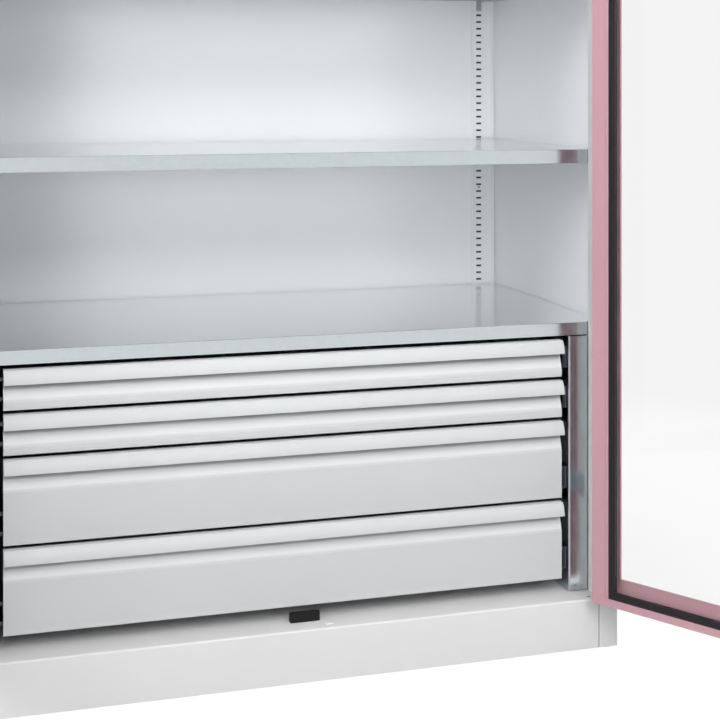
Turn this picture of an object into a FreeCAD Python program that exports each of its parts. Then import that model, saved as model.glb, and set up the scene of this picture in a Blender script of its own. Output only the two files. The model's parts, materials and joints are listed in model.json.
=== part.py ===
import FreeCAD, Part
import math
import os
import re
import Sketcher
from FreeCAD import Placement, Rotation, Vector

# Heavy-duty storage cabinet, millimetres.
# X to the right, Y into the cabinet, Z up.
# Every piece is drawn with Y = 0 on the cabinet's front plane and the doors shut.
# The placements then put the origin at the centre of the footprint and swing the doors open.

# Small bars and hidden bores are drawn with flat sides
HIDDEN_SIDES = 12
SMALL_SIDES = 24

doc = FreeCAD.newDocument("StorageCabinet")
sheet = doc.addObject("Spreadsheet::Sheet", "Sizes")

# Driving dimensions
SIZES = {
    # carcass
    "width": 1193,
    "depth": 600,
    "height": 1950,
    "wall": 1.5,
    "back_wall": 1.2,
    "post_width": 37,
    "post_depth": 48.5,
    "rear_flange": 12,
    "plinth_height": 92,
    "header_height": 40,
    "floor_gap": 1.5,
    "seam": 0.2,
    "bend": 2,
    "foot_flange": 42,
    "wing_lap": 1,
    "drain_side": 15,
    "drain_front": 12.4,
    "drain_width": 5,
    "drain_depth": 2,
    "floor_bolt_radius": 5.5,
    "floor_bolt_side": 96.5,
    "floor_bolt_edge": 22,
    "wall_bolt_radius": 4.5,
    "wall_bolt_side": 146.5,
    "wall_bolt_drop": 100,
    # rear slotted rails
    "rail_width": 30,
    "rail_inset": 28,
    "rail_proud": 5,
    "slot_width": 12,
    "slot_height": 4,
    "slot_pitch": 15,
    "slot_rise": 10.2,
    "slot_count": 80,
    "post_slot_skip": 16,
    "post_slot_step": 2,
    "post_slot_count": 29,
    # shelves
    "shelf_sheet": 1.2,
    "shelf_front": 47.5,
    "shelf_edge": 26,
    "cover_edge": 24,
    "cover_play": 7.3,
    "shelf_slot": 18,
    "shelf_slot_step": 22,
    "shelf_side_gap": 2.5,
    "shelf_rear_gap": 3,
    "shelf_return": 15,
    "shelf_post_gap": 1.5,
    "tray_lap": 20,
    "clip_sheet": 2,
    "clip_drop": 16,
    "clip_width": 11,
    "clip_foot": 6,
    "clip_ledge": 20,
    "clip_catch": 1,
    "clip_hook": 1.5,
    # drawer housing
    "housing_front": 46.5,
    "housing_width": 39.5,
    "housing_sheet": 1.2,
    "housing_back": 560,
    "housing_return": 30,
    "housing_play": 1,
    "brace_height": 30,
    # telescopic runners
    "runner_gauge": 1.8,
    "runner_height": 40,
    "runner_play": 0.5,
    "runner_length": 480,
    "runner_start": 60,
    # drawers
    "drawer_end_gap": 12,
    "drawer_pitch": 75,
    "drawer_rows": 6,
    "drawer_gap": 6.5,
    "drawer_base": 118.5,
    "drawer_sheet": 1.2,
    "drawer_face": 45.7,
    "lip_height": 24,
    "lip_reach": 13.3,
    "lip_lean": 8.2,
    "lip_radius": 34,
    "drawer_bend": 1,
    "recess_height": 31.5,
    "recess_depth": 10.7,
    "box_lift": 8,
    "box_drop": 14,
    "box_depth": 470,
    "runner_space": 19,
    # doors
    "door_thick": 29,
    "door_sheet": 1.2,
    "door_gap": 2.5,
    "door_foot_gap": 4.3,
    "door_middle_gap": 1.5,
    "door_open": 120,
    "door_rear_flange": 28.8,
    "door_lock_flange": 68,
    "door_end_flange": 13,
    "door_well": 34.1,
    "frame_lap": 8,
    "frame_ledge": 9,
    "seal_width": 11.7,
    "seal_depth": 11.5,
    "pane_thick": 4,
    "pane_bite": 8,
    "window_margin": 45,
    "window_lock_margin": 79,
    "window_hem": 3.8,
    # hinges
    "pivot_side": 1,
    "pivot_front": 5,
    "hinge_radius": 4,
    "hinge_pin": 2,
    "hinge_play": 0.05,
    "pin_end_gap": 0.5,
    "hinge_height": 42,
    "hinge_leaf": 26,
    "hinge_sheet": 1,
    "leaf_front": 0.6,
    "hinge_low": 164,
    # lock
    "rod_radius": 4,
    "rod_side": 49.2,
    "rod_depth": 20,
    "rod_travel": 16,
    "rod_slot_width": 15,
    "rod_slot_depth": 10,
    "rod_end_gap": 1.5,
    "lock_height": 1050,
    "lock_play": 0.3,
    "pinion_thick": 5,
    "tooth_count": 12,
    "tooth_rise": 1.3,
    "tooth_clear": 0.35,
    "tooth_top": 0.6,
    "tooth_foot": 1.5,
    "rack_top": 0.5,
    "rack_foot": 1.7,
    "rack_teeth": 6,
    "rack_thick": 4,
    "rack_width": 4.5,
    "rack_tail": 12,
    "case_half": 45,
    "case_sheet": 1.5,
    "spindle_side": 8,
    "spindle_bite": 3,
    "guide_half": 9,
    "guide_wall": 6,
    "guide_level": 60,
    "guide_height": 15,
    "lever_length": 125,
    "lever_width": 22,
    "lever_thick": 10,
    "lever_stand": 24,
    "lever_hub": 13,
    "rosette_radius": 22,
    "rosette_thick": 7,
    "plug_radius": 7,
    "plug_play": 0.1,
    "plug_length": 19.5,
    "plug_proud": 0.8,
    "keyway_width": 2,
    "keyway_height": 9,
    "keyway_depth": 6,
    # stop
    "stop_width": 54,
    "stop_height": 16.5,
    "stop_depth": 12,
    "stop_front": 37.5,
    "stop_side": 11.2,
    "stop_corner": 2.5,
    "strip_reach": 22,
    "strip_land": 26,
    "strip_gap": 0.6,
    "strip_joggle": 4,
    "strip_end": 1,
    "lug_start": 2,
    "stop_play": 0.5,
    # feet
    "foot_radius": 15,
    "foot_side": 19.5,
    "foot_front": 15.5,
    "foot_thick": 1.3,
    "foot_hub": 12.5,
    "foot_hub_height": 7,
    "foot_stud": 5,
    "foot_stud_length": 50,
    "foot_plate": 4,
    "foot_play": 0.3,
    "foot_plate_lift": 6,
}

# Sizes that follow from the driving ones
FOLLOWS = {
    "half": "width / 2",
    "wall_face": "half - wall",
    "opening": "half - post_width",
    "pan_under": "plinth_height - wall",
    "header_under": "height - header_height",
    "lid_under": "height - wall",
    "back_face": "depth - back_wall",
    "flange_face": "back_face - wall",
    "rail_face": "back_face - rail_proud",
    "rail_outer": "half - rail_inset",
    "rail_inner": "rail_outer - rail_width",
    "rail_middle": "rail_outer - rail_width / 2",
    "post_slot": "half - post_width / 2",
    "shelf_narrow": "opening - shelf_post_gap",
    "shelf_wide": "wall_face - shelf_side_gap",
    "shelf_step": "post_depth + shelf_side_gap",
    "shelf_back": "rail_face - shelf_rear_gap",
    "drawer_top": "drawer_base + drawer_pitch * drawer_rows - drawer_gap",
    "cover_under": "drawer_top + cover_play",
    "cover_top": "cover_under + cover_edge",
    "slot_first": "cover_top + slot_rise",
    "post_slot_first": "slot_first + slot_pitch * post_slot_skip",
    "post_slot_pitch": "slot_pitch * post_slot_step",
    "shelf_top": "slot_first + slot_pitch * shelf_slot + clip_drop + shelf_edge",
    "shelf_spacing": "slot_pitch * shelf_slot_step",
    "housing_outer": "opening - housing_play",
    "housing_inner": "housing_outer - housing_width",
    "drawer_half": "housing_inner - drawer_end_gap",
    "box_half": "housing_inner - runner_space",
    "box_front": "drawer_face + recess_depth + drawer_sheet",
    "door_outer": "opening - door_gap",
    "door_under": "plinth_height + door_foot_gap",
    "door_over": "header_under - door_foot_gap",
    "pivot_x": "opening + pivot_side",
    "hinge_bore": "(hinge_pin + hinge_play) / cos(15)",
    "rod_x": "door_middle_gap + rod_side",
    "rod_low_end": "door_under + door_sheet + rod_end_gap",
    "rod_top_end": "door_over - door_sheet - rod_end_gap",
    "pinion_radius": "rod_travel * 2 / pi",
    "pinion_root": "pinion_radius - tooth_rise - tooth_clear",
    "pinion_tip": "pinion_radius + tooth_rise",
    "tooth_pitch": "2 * pi * pinion_radius / tooth_count",
    "rack_tip": "pinion_radius - tooth_rise",
    "rack_root": "pinion_radius + tooth_rise + tooth_clear",
    "rack_far": "pinion_radius + rack_width",
    "rack_over": "rod_travel + 1.5 * tooth_pitch",
    "spindle_turn": "spindle_side * sqrt(2) / 2",
    "guide_bore": "(rod_radius + lock_play) / cos(15)",
    "foot_plate_level": "foot_hub_height + foot_plate_lift",
    "well_floor": "door_thick - door_sheet - seal_depth",
}

for row, (alias, size) in enumerate(SIZES.items(), start=1):
    sheet.set(f"A{row}", alias)
    sheet.set(f"B{row}", str(size))
    sheet.setAlias(f"B{row}", alias)
doc.recompute()


def named(text):
    """A formula with every size spelt as the sheet's own cell."""

    def spell(found):
        word = found.group(0)
        if word in FOLLOWS:
            return "(" + named(FOLLOWS[word]) + ")"
        if word in SIZES:
            return "Sizes." + word
        return word

    return re.sub(r"[a-z_]+", spell, str(text))


def size_of(text):
    return float(sheet.evalExpression(named(text)))


def bind(piece, **formulas):
    for prop, formula in formulas.items():
        piece.setExpression(prop.replace("__", "."), named(formula))


def box(name, across, inward, upward):
    """A block between two X, two Y and two Z values."""
    block = doc.addObject("Part::Box", name)
    bind(
        block,
        Length=f"({across[1]}) - ({across[0]})",
        Width=f"({inward[1]}) - ({inward[0]})",
        Height=f"({upward[1]}) - ({upward[0]})",
        Placement__Base__x=across[0],
        Placement__Base__y=inward[0],
        Placement__Base__z=upward[0],
    )
    return block


TURNS = {
    "X": Rotation(Vector(0, 1, 0), 90),
    "Y": Rotation(Vector(1, 0, 0), -90),
    "Z": Rotation(),
}


def rod(name, axis, start, radius, length):
    """A cylinder that starts at a point and runs along +X, +Y or +Z."""
    bar = doc.addObject("Part::Cylinder", name)
    bar.Placement = Placement(Vector(), TURNS[axis])
    bind(
        bar,
        Radius=radius,
        Height=length,
        Placement__Base__x=start[0],
        Placement__Base__y=start[1],
        Placement__Base__z=start[2],
    )
    return bar


def hexagon(name, start, radius, length):
    """An upright hexagonal block."""
    block = doc.addObject("Part::Prism", name)
    block.Polygon = 6
    bind(
        block,
        Circumradius=radius,
        Height=length,
        Placement__Base__x=start[0],
        Placement__Base__y=start[1],
        Placement__Base__z=start[2],
    )
    return block


def prism(name, sides, start, radius, length):
    """An upright bar with flat sides."""
    block = doc.addObject("Part::Prism", name)
    block.Polygon = sides
    bind(
        block,
        Circumradius=radius,
        Height=length,
        Placement__Base__x=start[0],
        Placement__Base__y=start[1],
        Placement__Base__z=start[2],
    )
    return block


def join(name, pieces):
    whole = doc.addObject("Part::MultiFuse", name)
    whole.Shapes = pieces
    whole.Refine = True
    return whole


def cut(name, base, tools):
    whole = doc.addObject("Part::Cut", name)
    whole.Base = base
    whole.Tool = tools[0] if len(tools) == 1 else join(name + "Tools", tools)
    return whole


def group(name, pieces):
    """Separate solids that are one sub-part, such as four feet."""
    whole = doc.addObject("Part::Compound", name)
    whole.Links = pieces
    return whole


def mirror(name, source):
    """The same piece on the cabinet's left side."""
    twin = doc.addObject("Part::Mirroring", name)
    twin.Source = source
    twin.Base = Vector(0, 0, 0)
    twin.Normal = Vector(1, 0, 0)
    return twin


def both_sides(name, piece):
    return group(name, [piece, mirror(name + "Twin", piece)])


PLANES = {"across": "YZ_Plane", "upward": "XY_Plane"}


def plane_of(body, role):
    return next(face for face in body.Origin.OriginFeatures if face.Role == role)


def place_sketch(body, name, run, start):
    sketch = body.newObject("Sketcher::SketchObject", name)
    sketch.AttachmentSupport = [(plane_of(body, PLANES[run]), "")]
    sketch.MapMode = "FlatFace"
    sketch.setExpression("AttachmentOffset.Base.z", named(start))
    return sketch


def hold_point(sketch, line, corner, point, name):
    """Two dimensions hold a point of the sketch at a place given by formulas."""
    for kind, formula in zip(("DistanceX", "DistanceY"), point):
        at = sketch.addConstraint(
            Sketcher.Constraint(kind, -1, 1, line, corner, size_of(formula))
        )
        label = f"{name}{kind[-1]}"
        sketch.renameConstraint(at, label)
        sketch.setExpression("Constraints." + label, named(formula))


def hold_size(sketch, kind, parts, formula, name):
    at = sketch.addConstraint(Sketcher.Constraint(kind, *parts, size_of(formula)))
    sketch.renameConstraint(at, name)
    sketch.setExpression("Constraints." + name, named(formula))


def outline_side(sketch, points, bends, name):
    """Lines through a list of corners, rounded where a corner has a bend radius.

    Gives the first line, the last line and all the lines.
    """
    legs = [(q - p).normalize() for p, q in zip(points, points[1:])]
    starts = list(points[:-1])
    ends = list(points[1:])
    arcs = {}
    for n, bend in enumerate(bends, start=1):
        if bend is None:
            continue
        radius = size_of(bend)
        before, after = legs[n - 1], legs[n]
        turn = math.atan2(before.x * after.y - before.y * after.x, before.dot(after))
        run = radius * math.tan(abs(turn) / 2)
        ends[n - 1] = points[n] - before * run
        starts[n] = points[n] + after * run
        side = math.copysign(1, turn)
        centre = ends[n - 1] + Vector(-before.y, before.x, 0) * radius * side
        first = math.atan2(ends[n - 1].y - centre.y, ends[n - 1].x - centre.x)
        low, high = (first, first + turn) if turn > 0 else (first + turn, first)
        circle = Part.Circle(centre, Vector(0, 0, 1), radius)
        arcs[n] = (Part.ArcOfCircle(circle, low, high), turn > 0, bend)
    lines = [sketch.addGeometry(Part.LineSegment(p, q), False) for p, q in zip(starts, ends)]
    for n in range(1, len(points) - 1):
        if n not in arcs:
            sketch.addConstraint(
                Sketcher.Constraint("Coincident", lines[n - 1], 2, lines[n], 1)
            )
            continue
        shape, leftward, bend = arcs[n]
        arc = sketch.addGeometry(shape, False)
        enter, leave = (1, 2) if leftward else (2, 1)
        sketch.addConstraint(Sketcher.Constraint("Tangent", lines[n - 1], 2, arc, enter))
        sketch.addConstraint(Sketcher.Constraint("Tangent", arc, leave, lines[n], 1))
        hold_size(sketch, "Radius", (arc,), bend, f"{name}Bend{n}")
    return lines


def folded(name, run, path, gauge, start, end, turn=1):
    """A sheet folded along a path of corners and run between two values.

    The path is the sheet's one face. Its other face lies one gauge to the right of the path,
    or to the left with turn = -1. A corner's third value is the bend's inside radius.
    """
    body = doc.addObject("PartDesign::Body", name)
    sketch = place_sketch(body, name + "Profile", run, start)
    thick = size_of(gauge)
    points = [Vector(size_of(corner[0]), size_of(corner[1]), 0) for corner in path]
    legs = [(q - p).normalize() for p, q in zip(points, points[1:])]
    sides = [Vector(leg.y, -leg.x, 0) * turn for leg in legs]
    far = [points[0] + sides[0] * thick]
    near_bends = []
    far_bends = []
    for n in range(1, len(points) - 1):
        middle = sides[n - 1] + sides[n]
        far.append(points[n] + middle * (thick / (1 + sides[n - 1].dot(sides[n]))))
        bend = path[n][2] if len(path[n]) > 2 else None
        inside = legs[n].dot(sides[n - 1]) > 0
        outer = bend and f"{bend} + {gauge}"
        near_bends.append(outer if inside else bend)
        far_bends.append(bend if inside else outer)
    far.append(points[-1] + sides[-1] * thick)
    near_lines = outline_side(sketch, points, near_bends, "Near")
    far_lines = outline_side(sketch, far, far_bends, "Far")
    caps = [
        sketch.addGeometry(Part.LineSegment(points[n], far[n]), False) for n in (0, -1)
    ]
    for cap, near_line, far_line, corner in zip(
        caps, (near_lines[0], near_lines[-1]), (far_lines[0], far_lines[-1]), (1, 2)
    ):
        sketch.addConstraint(
            [
                Sketcher.Constraint("Coincident", cap, 1, near_line, corner),
                Sketcher.Constraint("Coincident", cap, 2, far_line, corner),
                Sketcher.Constraint("Perpendicular", cap, near_line),
            ]
        )
    for n, (near_line, far_line) in enumerate(zip(near_lines, far_lines)):
        sketch.addConstraint(Sketcher.Constraint("Parallel", near_line, far_line))
        hold_size(sketch, "Distance", (far_line, 2, near_line), gauge, f"Gauge{n}")
    hold_point(sketch, near_lines[0], 1, path[0], "Corner0")
    hold_point(sketch, near_lines[-1], 2, path[-1], f"Corner{len(path) - 1}")
    for n in range(1, len(path) - 1):
        if near_bends[n - 1] is None:
            hold_point(sketch, near_lines[n], 1, path[n], f"Corner{n}")
            continue
        mark = sketch.addGeometry(Part.Point(points[n]), True)
        hold_point(sketch, mark, 1, path[n], f"Corner{n}")
        for line in (near_lines[n - 1], near_lines[n]):
            sketch.addConstraint(Sketcher.Constraint("PointOnObject", mark, 1, line))
    pad = body.newObject("PartDesign::Pad", name + "Run")
    pad.Profile = sketch
    pad.setExpression("Length", named(f"({end}) - ({start})"))
    doc.recompute()
    return body


def slot_row(body, name, middle, face, first, pitch, count):
    """A column of level slots through a folded sheet's face."""
    sketch = body.newObject("Sketcher::SketchObject", name + "Sketch")
    sketch.AttachmentSupport = [(plane_of(body, "XZ_Plane"), "")]
    sketch.MapMode = "FlatFace"
    sketch.setExpression(
        "AttachmentOffset.Base.z", named(f"-({face}) + wall + 1")
    )
    left = f"({middle}) - slot_width / 2"
    right = f"({middle}) + slot_width / 2"
    low = f"{first} - slot_height / 2"
    high = f"{first} + slot_height / 2"
    corners = [(left, low), (right, low), (right, high), (left, high)]
    points = [Vector(size_of(a), size_of(b), 0) for a, b in corners]
    sketch.addGeometry(
        [Part.LineSegment(points[n], points[(n + 1) % 4]) for n in range(4)], False
    )
    sketch.addConstraint(
        [Sketcher.Constraint("Coincident", n, 2, (n + 1) % 4, 1) for n in range(4)]
    )
    for n, corner in enumerate(corners):
        hold_point(sketch, n, 1, corner, f"Slot{n}")
    doc.recompute()
    before = body.Shape.Volume
    pocket = body.newObject("PartDesign::Pocket", name + "Slot")
    pocket.Profile = sketch
    pocket.Reversed = False
    pocket.setExpression("Length", named("wall + 2"))
    doc.recompute()
    if pocket.Shape.Volume > before - 1:
        pocket.Reversed = True
        doc.recompute()
    pattern = body.newObject("PartDesign::LinearPattern", name + "Row")
    pattern.Originals = [pocket]
    pattern.Direction = (sketch, ["V_Axis"])
    pattern.setExpression("Length", named(f"{pitch} * ({count} - 1)"))
    pattern.setExpression("Occurrences", named(count))
    body.Tip = pattern
    doc.recompute()
    print(name, "slots cut", round(before - pattern.Shape.Volume), "cubic mm")


nodes = []


def centred(piece):
    """Moves a piece from the front plane to the row frame."""
    piece.setExpression("Placement.Base.y", named("-depth / 2"))


def door_hung(piece):
    """Moves a right-hand door piece to the row frame, swung open about its hinge pins."""
    swing = "door_open"
    piece.Placement = Placement(Vector(), Rotation(Vector(0, 0, 1), SIZES["door_open"]))
    piece.setExpression("Placement.Rotation.Angle", named(swing))
    piece.setExpression(
        "Placement.Base.x",
        named(f"pivot_x - pivot_x * cos({swing}) - pivot_front * sin({swing})"),
    )
    piece.setExpression(
        "Placement.Base.y",
        named(
            f"-pivot_front - pivot_x * sin({swing}) + pivot_front * cos({swing}) - depth / 2"
        ),
    )


def keep(piece, label, seat=centred):
    if piece.TypeId in ("Part::Box", "Part::Cylinder"):
        piece = group(piece.Name + "Piece", [piece])
    if seat:
        seat(piece)
    piece.Label = label
    nodes.append(piece)
    return piece


def keep_pair(piece, label, seat=centred):
    """A right-hand node and its mirrored left-hand node."""
    right = keep(piece, label.replace("*", "right"), seat)
    return keep(mirror(piece.Name + "Left", right), label.replace("*", "left"), None)


# Side panels: box-folded front post, wall and rear flange in one sheet
def make_side_panels():
    path = [
        ("wall_face - seam", "post_depth"),
        ("opening", "post_depth"),
        ("opening", "0", "bend"),
        ("half", "0", "bend"),
        ("half", "back_face"),
        ("half - rear_flange", "back_face"),
    ]
    side = folded("Side", "upward", path, "wall", "floor_gap", "lid_under", turn=-1)
    slot_row(
        side,
        "PostSlots",
        "post_slot",
        "post_depth",
        "post_slot_first",
        "post_slot_pitch",
        "post_slot_count",
    )
    keep_pair(side, "side_panel_*")


# Back panel with two wall fixing holes
def make_back_panel():
    sheet_box = box(
        "BackSheet",
        ("-(wall_face - seam)", "wall_face - seam"),
        ("back_face", "depth"),
        ("2 * floor_gap", "lid_under - seam"),
    )
    holes = [
        rod(
            f"WallHole{side}",
            "Y",
            (f"{sign}(half - wall_bolt_side)", "back_face - 1", "height - wall_bolt_drop"),
            "wall_bolt_radius",
            "back_wall + 2",
        )
        for side, sign in (("Right", ""), ("Left", "-"))
    ]
    keep(cut("Back", sheet_box, holes), "back_panel")


# Top panel: lid with a folded header over the doors
def make_top_panel():
    path = [
        ("post_depth", "header_under"),
        ("0", "header_under", "bend"),
        ("0", "lid_under"),
    ]
    header = folded(
        "Header",
        "across",
        path,
        "wall",
        "-(opening - seam)",
        "opening - seam",
    )
    lid = box("Lid", ("-half", "half"), ("0", "depth"), ("lid_under", "height"))
    whole = join("LidAndHeader", [header, lid])
    slot = rod_slot("TopRodSlot", "header_under - 1", "header_under + wall + 1")
    keep(cut("Top", whole, [slot]), "top_panel")


def rod_slot(name, low, high):
    """The slot that a locking rod enters."""
    return box(
        name,
        ("rod_x - rod_slot_width / 2", "rod_x + rod_slot_width / 2"),
        ("rod_depth - rod_slot_depth / 2", "rod_depth + rod_slot_depth / 2"),
        (low, high),
    )


# Base panel: cabinet floor with plinth front, rear skirt and foot flanges
def make_base_panel():
    path = [
        ("foot_flange", "floor_gap"),
        ("0", "floor_gap"),
        ("0", "plinth_height", "bend"),
        ("flange_face", "plinth_height"),
        ("flange_face", "floor_gap"),
        ("flange_face - foot_flange", "floor_gap"),
    ]
    pan = folded(
        "Pan", "across", path, "wall", "-(opening - seam)", "opening - seam"
    )
    wings = [
        box(
            f"Wing{side}",
            across,
            ("post_depth + seam", "flange_face"),
            ("pan_under", "plinth_height"),
        )
        for side, across in (
            ("Right", ("opening - wing_lap", "wall_face - seam")),
            ("Left", ("-(wall_face - seam)", "-(opening - wing_lap)")),
        )
    ]
    whole = join("PanAndWings", [pan] + wings)
    tools = [rod_slot("BaseRodSlot", "pan_under - 1", "plinth_height + 1")]
    for side, sign in (("Right", ""), ("Left", "-")):
        middle = f"{sign}(opening - drain_side)"
        drain = box(
            f"Drain{side}",
            (f"{middle} - drain_width / 2", f"{middle} + drain_width / 2"),
            ("drain_front", "drain_front + drain_depth"),
            ("pan_under - 1", "plinth_height + 1"),
        )
        tools.append(drain)
    for side, sign in (("Right", ""), ("Left", "-")):
        for place, inward in (
            ("Front", "floor_bolt_edge"),
            ("Rear", "depth - floor_bolt_edge"),
        ):
            tools.append(
                rod(
                    f"FloorHole{place}{side}",
                    "Z",
                    (f"{sign}(half - floor_bolt_side)", inward, "0"),
                    "floor_bolt_radius",
                    "floor_gap + wall + 1",
                )
            )
    keep(cut("Base", whole, tools), "base_panel")


# Rear rails: shallow slotted channels on the back panel
def make_rear_rails():
    path = [
        ("rail_inner", "back_face - seam"),
        ("rail_inner", "rail_face"),
        ("rail_outer", "rail_face"),
        ("rail_outer", "back_face - seam"),
    ]
    rail = folded(
        "Rail", "upward", path, "wall", "plinth_height", "lid_under - seam", turn=-1
    )
    slot_row(
        rail,
        "RailSlots",
        "rail_middle",
        "rail_face + wall",
        "slot_first",
        "slot_pitch",
        "slot_count",
    )
    keep_pair(rail, "rear_rail_*")


# Levelling feet and the plates that hold them
def make_feet():
    places = (("Front", "foot_front"), ("Rear", "depth - foot_side"))
    plates = []
    feet = []
    for place, inward in places:
        middle = "half - foot_side"
        near, far = (
            ("wall + bend", "post_depth - wall - seam")
            if place == "Front"
            else ("flange_face - foot_flange", "flange_face - seam")
        )
        plate = box(
            f"Plate{place}",
            ("opening + wall + seam", "wall_face - seam"),
            (near, far),
            ("foot_plate_level", "foot_plate_level + foot_plate"),
        )
        hole = prism(
            f"PlateHole{place}",
            HIDDEN_SIDES,
            (middle, inward, "foot_plate_level - 1"),
            "foot_stud + foot_play",
            "foot_plate + 2",
        )
        plates.append(cut(f"FootPlate{place}", plate, [hole]))
        pieces = []
        for part, sides, radius, length in (
            ("Disc", SMALL_SIDES, "foot_radius", "foot_thick"),
            ("Stud", HIDDEN_SIDES, "foot_stud", "foot_stud_length"),
            ("Hub", 6, "foot_hub", "foot_hub_height"),
        ):
            pieces.append(
                prism(f"{part}{place}", sides, (middle, inward, "0"), radius, length)
            )
        feet.append(join(f"Foot{place}", pieces))
    plates += [mirror(plate.Name + "Left", plate) for plate in list(plates)]
    feet += [mirror(foot.Name + "Left", foot) for foot in list(feet)]
    keep(group("FootPlates", plates), "foot_plates")
    keep(group("Feet", feet), "levelling_feet")


# Shelves: sheet trays that reach behind the posts
def shelf_tray(name, top, edge):
    def block(part, inset, low, high):
        narrow = box(
            f"{name}{part}Front",
            (f"-(shelf_narrow - {inset})", f"shelf_narrow - {inset}"),
            (f"shelf_front + {inset}", "shelf_step + tray_lap"),
            (low, high),
        )
        wide = box(
            f"{name}{part}Wide",
            (f"-(shelf_wide - {inset})", f"shelf_wide - {inset}"),
            (f"shelf_step + {inset}", f"shelf_back - {inset}"),
            (low, high),
        )
        return join(f"{name}{part}", [narrow, wide])

    outer = block("Outer", "0", f"{top} - {edge}", top)
    inner = block("Inner", "shelf_sheet", f"{top} - {edge} - 1", f"{top} - shelf_sheet")
    tray = cut(name + "Tray", outer, [inner])
    lip = box(
        name + "Return",
        ("-shelf_narrow", "shelf_narrow"),
        ("shelf_front", "shelf_front + shelf_return"),
        (f"{top} - {edge}", f"{top} - {edge} + shelf_sheet"),
    )
    return join(name, [tray, lip])


def shelf_clips(name, top):
    """The four hooks under one shelf."""
    under = f"{top} - shelf_edge"
    clips = []
    for place, middle, wall_at, away in (
        ("Rear", "rail_middle", "rail_face", -1),
        ("Front", "post_slot", "post_depth", 1),
    ):
        sides = (f"{middle} - clip_width / 2", f"{middle} + clip_width / 2")

        def depth_range(near, far):
            ends = [f"{wall_at} + ({away}) * ({v})" for v in (near, far)]
            return ends if away > 0 else ends[::-1]

        back = box(
            f"{name}{place}Back",
            sides,
            depth_range("0", "clip_sheet"),
            (f"{under} - clip_drop - clip_foot", under),
        )
        ledge = box(
            f"{name}{place}Ledge",
            sides,
            depth_range("0", "clip_ledge"),
            (f"{under} - clip_sheet", under),
        )
        hook = box(
            f"{name}{place}Hook",
            sides,
            depth_range("-wall - clip_catch", "clip_sheet"),
            (f"{under} - clip_drop - clip_hook", f"{under} - clip_drop + clip_hook"),
        )
        clip = join(f"{name}{place}", [back, ledge, hook])
        clips += [clip, mirror(f"{name}{place}Left", clip)]
    return clips


def make_shelves():
    keep(shelf_tray("Cover", "cover_top", "cover_edge"), "drawer_cover_shelf")
    for n, place in enumerate(("lower", "middle", "upper")):
        top = f"(shelf_top + {n} * shelf_spacing)"
        keep(shelf_tray(f"Shelf{n}", top, "shelf_edge"), f"shelf_{place}")
        keep(group(f"Clips{n}", shelf_clips(f"Clip{n}", top)), f"shelf_clips_{place}")


# Drawer housing: galvanised cheeks with cross braces behind the drawers
def make_housing():
    path = [
        ("housing_outer", "housing_front"),
        ("housing_inner", "housing_front", "bend"),
        ("housing_inner", "housing_back"),
        ("housing_inner + housing_return", "housing_back"),
    ]
    cheek = folded(
        "Cheek", "upward", path, "housing_sheet", "plinth_height", "cover_under"
    )
    keep_pair(cheek, "housing_side_*")
    braces = [
        box(
            f"Brace{place}",
            ("-housing_inner", "housing_inner"),
            ("housing_back - housing_sheet * 10", "housing_back"),
            levels,
        )
        for place, levels in (
            ("Low", ("plinth_height", "plinth_height + brace_height")),
            ("High", ("cover_under - brace_height", "cover_under")),
        )
    ]
    keep(group("Braces", braces), "housing_braces")


# Drawer rows, from the top one down: how many pitches high, how many lie below
DRAWERS = [("1", 1, 5), ("2", 1, 4), ("3", 2, 2), ("4", 2, 0)]


def drawer_levels(pitches, below):
    low = f"(drawer_base + drawer_pitch * {below})"
    high = f"({low} + drawer_pitch * {pitches} - drawer_gap)"
    return low, high


# Drawer fronts: one folded sheet with a rounded grip lip along the top
def drawer_front(name, low, high):
    lip_low = f"{high} - lip_height"
    web = "drawer_face + recess_depth"
    lip_face = "drawer_face - lip_reach + drawer_sheet"
    path = [
        (web, low),
        ("drawer_face", low, "drawer_bend"),
        ("drawer_face", f"{lip_low} - recess_height"),
        (web, lip_low),
        (web, f"{high} - drawer_sheet"),
        (f"{lip_face} + lip_lean", f"{high} - drawer_sheet", "drawer_bend"),
        (lip_face, f"{lip_low} + lip_height / 2", "lip_radius"),
        (lip_face, lip_low),
    ]
    return folded(name, "across", path, "drawer_sheet", "-drawer_half", "drawer_half")


# Drawer boxes: open sheet trays
def drawer_box(name, low, high):
    outer = box(
        name + "Outer",
        ("-box_half", "box_half"),
        ("box_front", "box_front + box_depth"),
        (f"{low} + box_lift", f"{high} - box_drop"),
    )
    inner = box(
        name + "Inner",
        ("-box_half + drawer_sheet", "box_half - drawer_sheet"),
        ("box_front + drawer_sheet", "box_front + box_depth - drawer_sheet"),
        (f"{low} + box_lift + drawer_sheet", high),
    )
    return cut(name, outer, [inner])


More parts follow.
